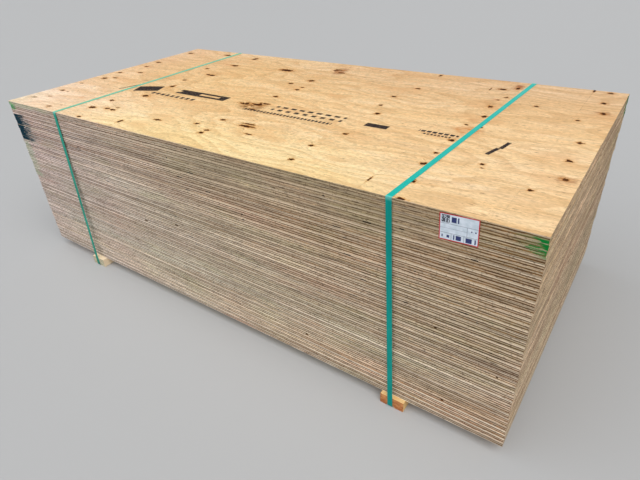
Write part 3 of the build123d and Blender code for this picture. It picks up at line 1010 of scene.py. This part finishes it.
def strap_material(name, base, light, painted_top_light):
    """Embossed plastic strapping: a fine crossed pattern, with painted light that makes it paler on top and a
    painted highlight where it bends.
    """
    g = Graph(name, 0.36, 0.08)
    x, y, z = g.place()
    run = g.add(y, z)
    cloud = g.noise(x, y, z, (40, 9, 9), 3.0, 0.6)
    dust = g.noise(x, y, z, (300, 120, 120), 3.0, 0.7)
    crossed = [g.times(way, 2 * math.pi / STRAP_RIB) for way in (g.add(run, x), g.math("SUBTRACT", run, x))]
    ribs = g.most(*[g.math("ABSOLUTE", g.math("SINE", turn)) for turn in crossed])
    # Painted highlight where the strap bends over the top edges
    bend = g.times(g.fade(z, 0.79, 0.8035), g.fade(g.apart(y, 0.0), 0.603, 0.611), 0.35)
    colour = g.coats(
        g.mix(g.fade(cloud, 0.35, 0.68), base, light),
        # Painted light: the strap paler on top
        (g.fade(z, 0.803, 0.8045), painted_top_light),
        (bend, (0.35, 0.85, 0.78)),
    )
    colour = g.shade(colour, g.line(ribs, 0.18, 0.86))
    g.colour(g.mix(g.fade(dust, 0.55, 0.8, 0.0, 0.15), colour, (0.25, 0.5, 0.42)))
    g.bump(g.add(ribs, g.times(dust, 0.2)), 0.15 * MM, 0.55)
    g.roughness(g.fade(cloud, 0.3, 0.7, 0.3, 0.44))
    return g.material


def strap_band(name, runner, material):
    """A closed flat band: straight runs between four bends, each bend turned about its corner."""
    low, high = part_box(name)
    runner_x = sum(corner.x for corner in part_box(runner)) / 2
    front_x, back_x = (runner_x + offset * MM for offset in STRAP_OFFSETS[name])
    groove_x = runner_x - GROOVE_SHIFT
    corners = [
        Vector((front_x, -SHEET_EDGE, STACK_TOP)),
        Vector((groove_x, low.y + STRAP_STAND, GROOVE_ROOF)),
        Vector((groove_x, high.y - STRAP_STAND, GROOVE_ROOF)),
        Vector((back_x, SHEET_EDGE, STACK_TOP)),
    ]
    frames = []
    for number, here in enumerate(corners):
        before, after = corners[number - 1], corners[(number + 1) % len(corners)]
        arrive = math.atan2(here.z - before.z, here.y - before.y)
        leave = math.atan2(after.z - here.z, after.y - here.y)
        turn = (leave - arrive + math.pi) % (2 * math.pi) - math.pi
        frames += [(here, arrive + turn * step / BEND_STEPS) for step in range(BEND_STEPS + 1)]
        pieces = int(math.hypot(after.y - here.y, after.z - here.z) / STRAP_STEP)
        frames += [(here.lerp(after, step / pieces), leave) for step in range(1, pieces)]

    half, flat = STRAP_HALF_WIDTH, STRAP_HALF_WIDTH - STRAP_EDGE
    lower, upper = STRAP_NEAR + STRAP_EDGE, STRAP_FAR - STRAP_EDGE
    section = [
        (-half, lower), (-half, upper), (-flat, STRAP_FAR), (-half / 2, STRAP_FAR), (half / 2, STRAP_FAR),
        (flat, STRAP_FAR), (half, upper), (half, lower), (flat, STRAP_NEAR), (-flat, STRAP_NEAR),
    ]
    points = []
    for spot, angle in frames:
        # Going round front, bottom, back and top, the outside lies to the right of the way
        out = Vector((0, math.sin(angle), -math.cos(angle)))
        points += [spot + Vector((across, 0, 0)) + out * stand for across, stand in section]
    table = np.arange(len(points)).reshape(len(frames), len(section))
    faces = cells(table, loop=True, tube=True).reshape(-1, 4).tolist()
    piece = add_object(name + "_band", points, faces, material)
    piece.data.shade_smooth()
    piece.data.set_sharp_from_angle(angle=SHARP_FROM)
    return piece


def timber_material(name, pale, warm, end_pale, end_warm):
    """Sawn softwood: grain along Y on the sides, growth rings, streaks and dark saw marks on the ends."""
    g = Graph(name, 0.82, 0.12)
    x, y, z = g.place()
    facing = g.split(g.node("NewGeometry").outputs["True Normal"])[1]
    on_end = g.fade(g.apart(facing, 0.0), 0.55, 0.85)
    grain = g.noise(x, y, z, (210, 6, 210), 3.0, 0.6)
    fine = g.noise(x, y, z, (900, 22, 900), 2.0, 0.6)
    long_side = g.mix(g.fade(grain, 0.34, 0.68), pale, warm)
    long_side = g.shade(long_side, g.vary(grain, 0.1), g.vary(fine, 0.08))
    radius = g.length(g.math("SUBTRACT", x, PITH_X), g.math("SUBTRACT", z, PITH_Z))
    bent = g.line(g.noise(x, y, z, (25, 3, 25)), 8 * MM, radius)
    rings = g.math("SINE", g.times(bent, 2 * math.pi / RING_WIDTH))
    blotch = g.noise(x, y, z, (42, 10, 95), 3.0, 0.7)
    saw = g.noise(x, y, z, (70, 10, 520), 2.0, 0.6)
    ends = g.mix(g.fade(g.line(rings, 0.1, blotch), 0.36, 0.66), end_pale, end_warm)
    ends = g.shade(ends, g.vary(fine, 0.12), g.vary(saw, 0.2))
    g.colour(g.mix(on_end, long_side, ends))
    g.bump(g.add(g.times(grain, 0.6), g.times(fine, 0.4)), 0.5 * MM, 0.8)
    return g.material


def runner_outline(low, high):
    """Cross-section of a runner with its groove below. Points along the sides let its faces be uneven."""
    width, tall = high.x - low.x, high.z - low.z
    middle = (low.x + high.x) / 2 - GROOVE_SHIFT
    left, right = middle - GROOVE_HALF_WIDTH, middle + GROOVE_HALF_WIDTH
    inner_left, inner_right = low.x + RUNNER_BEND, high.x - RUNNER_BEND
    inner_low, inner_high = low.z + RUNNER_BEND, high.z - RUNNER_BEND

    def arc(cx, cz, start):
        turns = [math.radians(start + 22.5 * step) for step in range(5)]
        return [(cx + RUNNER_BEND * math.cos(turn), cz + RUNNER_BEND * math.sin(turn)) for turn in turns]

    outline = [(left, low.z), (left, low.z + GROOVE_ROOF), (right, low.z + GROOVE_ROOF), (right, low.z)]
    outline += [(right + 8 * MM, low.z), (high.x - 14 * MM, low.z)]
    outline += arc(inner_right, inner_low, -90)
    outline += [(high.x, low.z + tall * share) for share in (0.3, 0.5, 0.7)]
    outline += arc(inner_right, inner_high, 0)
    outline += [(high.x - width * share, high.z) for share in (0.2, 0.35, 0.5, 0.65, 0.8)]
    outline += arc(inner_left, inner_high, 90)
    outline += [(low.x, high.z - tall * share) for share in (0.3, 0.5, 0.7)]
    outline += arc(inner_left, inner_low, 180)
    return np.array([*outline, (low.x + 14 * MM, low.z)])


def runner_beam(name, material):
    """A sawn beam along Y with slightly uneven faces."""
    low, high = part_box(name)
    outline = runner_outline(low, high)
    centre = np.array([(low.x + high.x) / 2, (low.z + high.z) / 2])
    between = np.linspace(low.y + 12 * MM, high.y - 12 * MM, RUNNER_RINGS)
    run = np.array([low.y, low.y + 0.8 * MM, *between, high.y - 0.8 * MM, high.y])
    rings, sides = len(run), len(outline)
    points = np.empty((rings, sides, 3))
    for ring, place in enumerate(run):
        shrink = RUNNER_END if ring in (0, rings - 1) else 1.0
        flat = (outline - centre) * shrink
        # The top and underside stay flat, because the sheets lie on one and the floor carries the other
        points[ring, :, 0] = centre[0] + flat[:, 0] * (1 - RUNNER_UNEVEN * rng.random(sides))
        points[ring, :, 1] = place
        points[ring, :, 2] = centre[1] + flat[:, 1]
    points[0, :, 1] += 0.5 * MM * rng.random(sides)
    points[-1, :, 1] -= 0.5 * MM * rng.random(sides)
    table = np.arange(rings * sides).reshape(rings, sides)
    faces = cells(table, tube=True).reshape(-1, 4).tolist()
    faces += [table[0].tolist(), table[-1, ::-1].tolist()]
    return add_object(name + "_timber", points.reshape(-1, 3).tolist(), faces, material)


def label_material():
    """White paper with a thin red border, ruled cells, an even block and plain upright bars."""
    g = Graph("label_paper", 0.6, 0.2)
    u, v, _ = g.attribute("sheet")

    def inside(x0, y0, x1, y1, soft=0.004):
        across = g.times(g.fade(u, x0 - soft, x0 + soft), g.fade(u, x1 + soft, x1 - soft))
        return g.times(across, g.fade(v, y0 - soft, y0 + soft), g.fade(v, y1 + soft, y1 - soft))

    def bars(x0, y0, x1, y1, fill):
        """Upright bars of uneven width."""
        bar = g.white(g.math("FLOOR", g.times(u, 30.0)), 10.0 * x0, 10.0 * y0)
        return g.times(inside(x0, y0, x1, y1), g.math("LESS_THAN", bar, fill))

    cloud = g.noise(u, v, 0.0, (6, 5, 1), 3.0)
    paper = g.mix(g.fade(cloud, 0.35, 0.65), (0.6, 0.69, 0.77), (0.74, 0.81, 0.9))
    paper = g.mix(inside(*LABEL_FIELD), LABEL_RED, paper)
    cell = g.white(g.math("FLOOR", g.times(u, 46.0)), g.math("FLOOR", g.times(v, 34.0)), 4.0)
    block = g.times(inside(*LABEL_BLOCK), g.math("GREATER_THAN", cell, 0.24), 0.92)
    g.colour(g.coats(
        paper,
        (g.times(g.most(*[inside(*rule) for rule in LABEL_RULES]), 0.7), (0.12, 0.12, 0.17)),
        (block, (0.045, 0.045, 0.065)),
        (g.times(g.most(*[bars(*group) for group in LABEL_BARS]), 0.95), (0.006, 0.014, 0.125)),
    ))
    g.bump(cloud, 0.1 * MM, 0.4)
    return g.material


def label_sheet(material):
    """The paper label: a thin closed sheet stuck over the sheets' edges, its corners lifting a little."""
    low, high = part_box("label")
    middle = (low + high) / 2
    columns, rows = 30, 24
    turn = Matrix.Rotation(-LABEL_TILT, 3, "Y")
    points, uvs = [], []
    for thickness in (0.0, PAPER_THICKNESS):
        for i in range(columns + 1):
            for j in range(rows + 1):
                u, v = i / columns, j / rows
                edge = max(abs(u - 0.5), abs(v - 0.5)) * 2
                corner = abs(u - 0.5) * abs(v - 0.5) * 4
                lift = 0.1 * MM * (1 + math.sin(v * LABEL_HEIGHT / SHEET_PITCH * 2 * math.pi + 0.8))
                lift += CORNER_LIFT * max(0.0, corner - LIFT_FROM) / (1 - LIFT_FROM)
                lift += 0.12 * MM * edge ** 6
                spot = turn @ Vector(((u - 0.5) * LABEL_WIDTH, 0, (v - 0.5) * LABEL_HEIGHT))
                points.append((middle.x + spot.x, high.y - 0.02 * MM - lift - thickness, middle.z + spot.z))
                uvs.append((u, v, 0.0))
    back, front = np.arange(len(points)).reshape(2, columns + 1, rows + 1)
    rim = np.concatenate([back[:-1, 0], back[-1, :-1], back[:0:-1, -1], back[0, :0:-1]])
    rim = np.stack([rim, rim + front[0, 0]], 1)
    faces = [cells(back)[:, :, ::-1], cells(front), cells(rim, loop=True)]
    faces = np.concatenate([part.reshape(-1, 4) for part in faces]).tolist()
    piece = add_object("label_paper_sheet", points, faces, material)
    carry(piece.data, "sheet", "POINT", uvs)
    return piece


def add_lamp(name, way, strength, spread, colour):
    """A broad, soft sun that shines along a way, with its spread in degrees."""
    data = bpy.data.lights.new(name, "SUN")
    data.energy = strength
    data.angle = math.radians(spread)
    data.color = colour
    light = bpy.data.objects.new(name, data)
    light.rotation_euler = Vector(way).to_track_quat("-Z", "Y").to_euler()
    bpy.context.scene.collection.objects.link(light)


def build_stage():
    """A plain pale floor and soft light."""
    g = Graph("floor", 0.85, 0.2)
    g.colour((0.455, 0.46, 0.465))
    far = FLOOR_REACH
    corners = [(-far, -far, 0), (far, -far, 0), (far, far, 0), (-far, far, 0)]
    add_object("floor", corners, [(0, 1, 2, 3)], g.material)

    world = bpy.data.worlds.new("studio")
    bpy.context.scene.world = world
    world.use_nodes = True
    background = world.node_tree.nodes["Background"]
    background.inputs["Color"].default_value = (0.93, 0.96, 1.0, 1.0)
    background.inputs["Strength"].default_value = 0.22
    bpy.context.scene.view_settings.view_transform = "Standard"

    add_lamp("left", (0.42, 0.55, -1.0), 1.66, 90, (0.95, 0.97, 1.0))
    add_lamp("right", (-0.72, 0.38, -1.0), 1.95, 50, (1.0, 0.975, 0.94))
    add_lamp("behind", (0.05, -1.0, -0.1), 0.45, 60, (1.0, 0.985, 0.96))


def build_camera():
    """The photograph's camera."""
    level = (CAMERA_AIM - CAMERA_PLACE).to_track_quat("-Z", "Y")
    turn = level @ Quaternion((0, 0, 1), -CAMERA_ROLL)
    data = bpy.data.cameras.new("camera")
    data.lens = CAMERA_LENS
    data.sensor_width = CAMERA_SENSOR
    data.clip_start, data.clip_end = 0.05, 100.0
    camera = bpy.data.objects.new("camera", data)
    camera.matrix_world = Matrix.LocRotScale(CAMERA_PLACE, turn, None)
    bpy.context.scene.collection.objects.link(camera)
    bpy.context.scene.camera = camera


build_sheets(edge_material(), face_material())

teal = strap_material("strap_teal", (0.003, 0.265, 0.228), (0.006, 0.318, 0.276), (0.006, 0.455, 0.39))
green = strap_material("strap_green", (0.01, 0.235, 0.165), (0.026, 0.345, 0.25), (0.19, 0.58, 0.4))
warm = timber_material(
    "timber_warm", (0.84, 0.6, 0.29), (0.74, 0.45, 0.18), (0.66, 0.31, 0.12), (0.38, 0.115, 0.042)
)
pale = timber_material(
    "timber_pale", (0.93, 0.78, 0.58), (0.8, 0.62, 0.39), (0.62, 0.57, 0.41), (0.36, 0.32, 0.2)
)
for side, plastic in (("right", teal), ("left", green)):
    dress(strap_band("strap_" + side, "runner_" + side, plastic), "strap_plastic", "strap_" + side)
for side, timber in (("right", warm), ("left", pale)):
    dress(runner_beam("runner_" + side, timber), "runner_timber", "runner_" + side)
dress(label_sheet(label_material()), "label_paper", "label")

build_stage()
build_camera()
